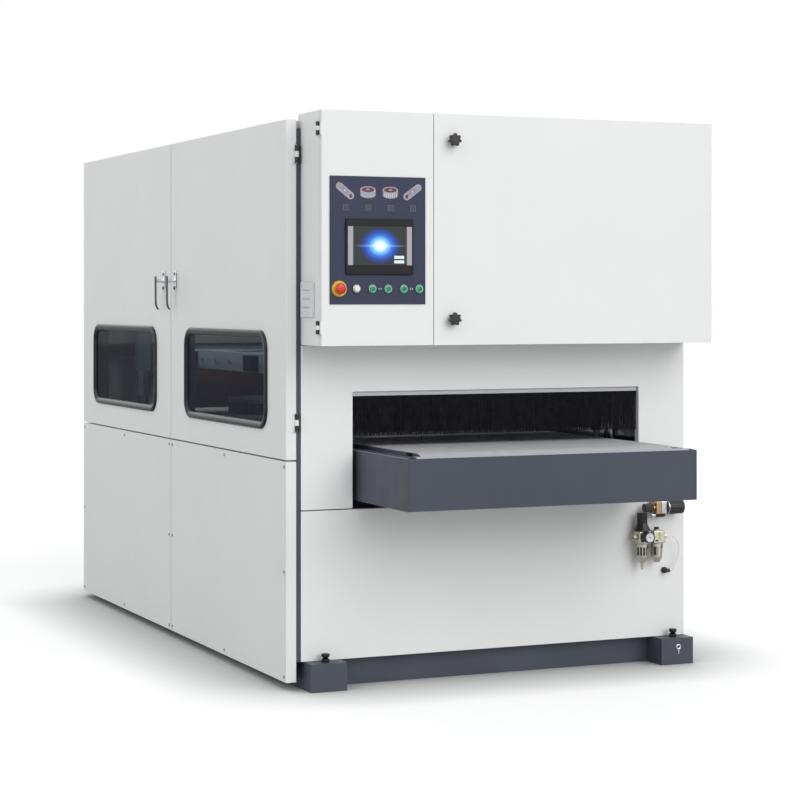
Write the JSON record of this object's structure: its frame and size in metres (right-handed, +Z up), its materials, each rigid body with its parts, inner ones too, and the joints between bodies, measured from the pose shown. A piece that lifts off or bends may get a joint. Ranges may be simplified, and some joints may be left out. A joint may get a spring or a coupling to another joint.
{
  "type": "brush sanding machine",
  "caption": "Floor-standing through-feed brush sander: a belt table carries panels under roller and disc brushes in a closed cabinet with doors, windows and a control panel.",
  "frame": {"origin": "on the floor, at the middle of the machine's outline", "axes": "+Z up, +Y from the infeed mouth to the outfeed mouth, +X to the operator's right when facing the infeed"},
  "size_m": [1.76, 3.74, 2.185],
  "materials": {
    "white_paint": "satin",
    "slate_paint": "satin",
    "frame_paint": "satin",
    "machinery": "satin",
    "steel": "brushed",
    "chrome": "polished",
    "black_plastic": "matt",
    "bristle": "matt",
    "belt": "matt",
    "cast_cream": "satin",
    "bowl": "clear",
    "window_rubber": "matt",
    "roller_rubber": "matt",
    "tinted_glass": "tinted",
    "screen_black": "gloss",
    "red_plastic": "gloss",
    "white_plastic": "gloss",
    "green_plastic": "gloss",
    "clear_plastic": "clear"
  },
  "bodies": {
    "machine": {"base_frame": "frame_paint", "foot_hardware": "steel", "upper_frame": "frame_paint", "roof_panel": "white_paint", "front_upper_panel": "white_paint", "front_lower_panel": "white_paint", "rear_upper_panel": "white_paint", "rear_lower_panel": "white_paint", "left_lower_panels": "white_paint", "right_side_panels": "white_paint", "panel_screws": "steel", "electrical_cabinet": "white_paint", "electrical_components": "machinery", "document_pocket": "clear_plastic", "fixed_hinge_leaves": "steel", "conveyor_bed": "slate_paint", "conveyor_belt": "belt", "conveyor_gearmotor": "slate_paint", "front_curtain": "bristle", "rear_curtain": "bristle", "lift_columns": "steel", "air_unit_body": "cast_cream", "air_unit_bowls": "bowl", "pressure_gauge": "black_plastic", "air_fittings": "cast_cream", "air_tube": "clear_plastic"},
    "brush_head": {"head_frame": "machinery", "brush_motors": "machinery"},
    "front_side_door": {"left_front_door": "white_paint", "front_window_frame": "window_rubber", "front_window_pane": "tinted_glass"},
    "rear_side_door": {"left_rear_door": "white_paint", "rear_window_frame": "window_rubber", "rear_window_pane": "tinted_glass"},
    "control_door": {"control_door": "white_paint", "control_plate": "slate_paint", "touch_screen": "screen_black"},
    "power_door": {"power_door": "white_paint"},
    "drive_roller": {"drive_roller": "roller_rubber"},
    "idler_roller": {"idler_roller": "roller_rubber"},
    "front_roller_brush": {"front_roller_brush": "bristle"},
    "rear_roller_brush": {"rear_roller_brush": "bristle"},
    "disc_brush_1": {"disc_brush_1": "bristle"},
    "disc_brush_2": {"disc_brush_2": "bristle"},
    "disc_brush_3": {"disc_brush_3": "bristle"},
    "disc_brush_4": {"disc_brush_4": "bristle"},
    "front_hold_down_roller": {"front_hold_down_roller": "roller_rubber"},
    "rear_hold_down_roller": {"rear_hold_down_roller": "roller_rubber"},
    "front_door_handle": {"front_door_handle": "chrome"},
    "rear_door_handle": {"rear_door_handle": "chrome"},
    "emergency_stop": {"emergency_stop": "red_plastic"},
    "start_button": {"start_button": "white_plastic"},
    "green_button_1": {"green_button_1": "green_plastic"},
    "green_button_2": {"green_button_2": "green_plastic"},
    "green_button_3": {"green_button_3": "green_plastic"},
    "green_button_4": {"green_button_4": "green_plastic"},
    "upper_star_knob": {"upper_star_knob": "black_plastic"},
    "lower_star_knob": {"lower_star_knob": "black_plastic"},
    "regulator_knob": {"regulator_knob": "black_plastic"},
    "valve_knob": {"valve_knob": "black_plastic"}
  },
  "joints": [
    {"name": "head_lift", "type": "slide", "parent": "machine", "child": "brush_head", "axis": [0, 0, 1], "range_m": [0, 0.1]},
    {"name": "front_side_door_swing", "type": "hinge", "parent": "machine", "child": "front_side_door", "pos_m": [-0.795, -1.408, 1.5], "axis": [0, 0, 1], "range_deg": [0, 105]},
    {"name": "rear_side_door_swing", "type": "hinge", "parent": "machine", "child": "rear_side_door", "pos_m": [-0.795, 1.408, 1.5], "axis": [0, 0, -1], "range_deg": [0, 105]},
    {"name": "control_door_swing", "type": "hinge", "parent": "machine", "child": "control_door", "pos_m": [-0.784, -1.59, 1.718], "axis": [0, 0, -1], "range_deg": [0, 110]},
    {"name": "power_door_swing", "type": "hinge", "parent": "machine", "child": "power_door", "pos_m": [0.873, -1.6, 1.718], "axis": [0, 0, 1], "range_deg": [0, 95]},
    {"name": "front_handle_turn", "type": "hinge", "parent": "front_side_door", "child": "front_door_handle", "pos_m": [-0.835, -0.068, 1.538], "axis": [-1, 0, 0], "range_deg": [0, 90]},
    {"name": "rear_handle_turn", "type": "hinge", "parent": "rear_side_door", "child": "rear_door_handle", "pos_m": [-0.835, 0.094, 1.538], "axis": [1, 0, 0], "range_deg": [0, 90]},
    {"name": "emergency_stop_push", "type": "slide", "parent": "control_door", "child": "emergency_stop", "axis": [0, 1, 0], "range_m": [0, 0.008], "stiffness_N_per_m": 500},
    {"name": "start_button_push", "type": "slide", "parent": "control_door", "child": "start_button", "axis": [0, 1, 0], "range_m": [0, 0.004], "stiffness_N_per_m": 400},
    {"name": "green_button_1_push", "type": "slide", "parent": "control_door", "child": "green_button_1", "axis": [0, 1, 0], "range_m": [0, 0.004], "stiffness_N_per_m": 400},
    {"name": "green_button_2_push", "type": "slide", "parent": "control_door", "child": "green_button_2", "axis": [0, 1, 0], "range_m": [0, 0.004], "stiffness_N_per_m": 400},
    {"name": "green_button_3_push", "type": "slide", "parent": "control_door", "child": "green_button_3", "axis": [0, 1, 0], "range_m": [0, 0.004], "stiffness_N_per_m": 400},
    {"name": "green_button_4_push", "type": "slide", "parent": "control_door", "child": "green_button_4", "axis": [0, 1, 0], "range_m": [0, 0.004], "stiffness_N_per_m": 400},
    {"name": "upper_star_knob_turn", "type": "hinge", "parent": "power_door", "child": "upper_star_knob", "pos_m": [-0.252, -1.61, 2.052], "axis": [0, 1, 0], "range_deg": [0, 90]},
    {"name": "lower_star_knob_turn", "type": "hinge", "parent": "power_door", "child": "lower_star_knob", "pos_m": [-0.252, -1.61, 1.384], "axis": [0, 1, 0], "range_deg": [0, 90]},
    {"name": "drive_roller_spin", "type": "hinge", "parent": "machine", "child": "drive_roller", "pos_m": [0.052, 1.775, 0.822], "axis": [1, 0, 0], "continuous": true},
    {"name": "idler_roller_spin", "type": "hinge", "parent": "machine", "child": "idler_roller", "pos_m": [0.052, -1.775, 0.822], "axis": [1, 0, 0], "continuous": true},
    {"name": "front_roller_brush_spin", "type": "hinge", "parent": "brush_head", "child": "front_roller_brush", "pos_m": [0.052, -0.9, 1.03], "axis": [1, 0, 0], "continuous": true},
    {"name": "rear_roller_brush_spin", "type": "hinge", "parent": "brush_head", "child": "rear_roller_brush", "pos_m": [0.052, 0.9, 1.03], "axis": [1, 0, 0], "continuous": true},
    {"name": "disc_brush_1_spin", "type": "hinge", "parent": "brush_head", "child": "disc_brush_1", "pos_m": [-0.2105, -0.32, 1], "axis": [0, 0, 1], "continuous": true},
    {"name": "disc_brush_2_spin", "type": "hinge", "parent": "brush_head", "child": "disc_brush_2", "pos_m": [0.3145, -0.32, 1], "axis": [0, 0, 1], "continuous": true},
    {"name": "disc_brush_3_spin", "type": "hinge", "parent": "brush_head", "child": "disc_brush_3", "pos_m": [-0.2105, 0.32, 1], "axis": [0, 0, 1], "continuous": true},
    {"name": "disc_brush_4_spin", "type": "hinge", "parent": "brush_head", "child": "disc_brush_4", "pos_m": [0.3145, 0.32, 1], "axis": [0, 0, 1], "continuous": true},
    {"name": "front_hold_down_spin", "type": "hinge", "parent": "brush_head", "child": "front_hold_down_roller", "pos_m": [0.052, -1.22, 0.98], "axis": [1, 0, 0], "continuous": true},
    {"name": "rear_hold_down_spin", "type": "hinge", "parent": "brush_head", "child": "rear_hold_down_roller", "pos_m": [0.052, 1.22, 0.98], "axis": [1, 0, 0], "continuous": true},
    {"name": "regulator_knob_turn", "type": "hinge", "parent": "machine", "child": "regulator_knob", "pos_m": [0.664, -1.44, 0.58], "axis": [0, 0, 1], "range_deg": [-360, 360]},
    {"name": "valve_knob_turn", "type": "hinge", "parent": "machine", "child": "valve_knob", "pos_m": [0.8, -1.436, 0.626], "axis": [1, 0, 0], "range_deg": [-360, 360]}
  ],
  "couplings": [
    {"joint": "idler_roller_spin", "follows": "drive_roller_spin", "ratio": 1},
    {"joint": "disc_brush_2_spin", "follows": "disc_brush_1_spin", "ratio": -1},
    {"joint": "disc_brush_4_spin", "follows": "disc_brush_3_spin", "ratio": -1}
  ]
}
